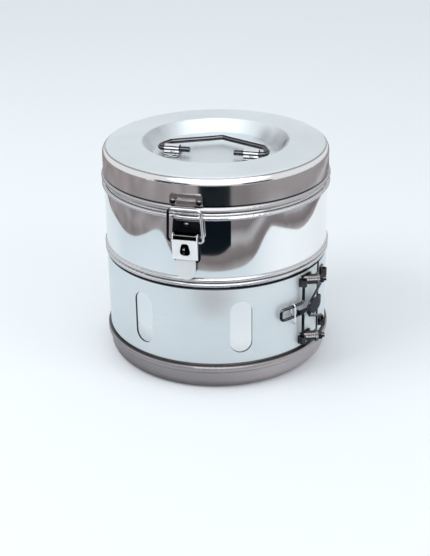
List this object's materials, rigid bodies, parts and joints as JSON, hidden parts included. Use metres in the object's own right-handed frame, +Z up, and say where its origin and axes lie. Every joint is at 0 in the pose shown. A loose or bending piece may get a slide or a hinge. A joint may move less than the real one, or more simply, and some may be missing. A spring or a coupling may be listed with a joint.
{
  "type": "sterilizing drum",
  "caption": "Round steel sterilizing drum with a hinged lid, draw latch, folding lid handle and a slotted band that turns to open or close its steam vents.",
  "frame": {"origin": "centre of the flat base on the drum's axis", "axes": "+Z up along the drum's axis, latch towards -Y, lid hinge at +Y"},
  "size_m": [0.2211, 0.2304, 0.2055],
  "materials": {
    "drum_wall": "mirror polished stainless steel",
    "base": "satin stainless steel",
    "lid": "fine satin stainless steel",
    "band": "light brushed stainless steel",
    "fittings": "bright plated steel"
  },
  "bodies": {
    "drum": {"drum_shell": "drum_wall", "base_pan": "base", "latch_base": "fittings", "latch_rivets": "fittings", "latch_staple": "fittings", "latch_pin": "fittings", "drum_hinge_leaf": "fittings", "drum_hinge_rivets": "fittings", "hinge_pin": "fittings"},
    "lid": {"lid_shell": "lid", "lid_hinge_leaf": "fittings", "lid_hinge_rivets": "fittings", "catch_plate": "fittings", "catch_rivets": "fittings", "handle_lug_left": "fittings", "handle_lug_right": "fittings", "handle_lug_rivets": "fittings"},
    "handle": {"handle": "fittings"},
    "lever": {"latch_lever": "fittings"},
    "bail": {"latch_bail": "fittings"},
    "band": {"vent_band": "band", "clamp_post_upper": "fittings", "clamp_post_lower": "fittings", "clamp_nuts": "fittings", "yoke_lug_upper": "fittings", "yoke_lug_lower": "fittings"},
    "finger_loop": {"clamp_loop": "fittings"},
    "ring": {"keeper_ring": "fittings"},
    "yoke": {"clamp_yoke": "fittings", "clamp_leaf": "fittings"}
  },
  "joints": [
    {"name": "lid_hinge", "type": "hinge", "parent": "drum", "child": "lid", "pos_m": [0, 0.1108, 0.1724], "axis": [-1, 0, 0], "range_deg": [0, 110]},
    {"name": "handle_fold", "type": "hinge", "parent": "lid", "child": "handle", "pos_m": [0, -0.0146, 0.1981], "axis": [1, 0, 0], "range_deg": [0, 155]},
    {"name": "latch_lever_swing", "type": "hinge", "parent": "drum", "child": "lever", "pos_m": [0, -0.1094, 0.1524], "axis": [-1, 0, 0], "range_deg": [0, 110]},
    {"name": "bail_tilt", "type": "hinge", "parent": "lever", "child": "bail", "pos_m": [0, -0.11, 0.1476], "axis": [1, 0, 0], "range_deg": [0, 145]},
    {"name": "band_turn", "type": "hinge", "parent": "drum", "child": "band", "pos_m": [0, 0, 0.062], "axis": [0, 0, 1], "range_deg": [0, 25.71]},
    {"name": "finger_loop_swing", "type": "hinge", "parent": "band", "child": "finger_loop", "pos_m": [0.09452, -0.05448, 0.0634], "axis": [0, 0, 1], "range_deg": [0, 90]},
    {"name": "keeper_slide", "type": "slide", "parent": "finger_loop", "child": "ring", "axis": [-0.6033, -0.7975, 0], "range_m": [0, 0.004]},
    {"name": "yoke_swing", "type": "hinge", "parent": "band", "child": "yoke", "pos_m": [0.10716, -0.01939, 0.0634], "axis": [0, 0, 1], "range_deg": [0, 100]}
  ],
  "couplings": [
    {"joint": "bail_tilt", "follows": "latch_lever_swing", "ratio": 1.3}
  ]
}
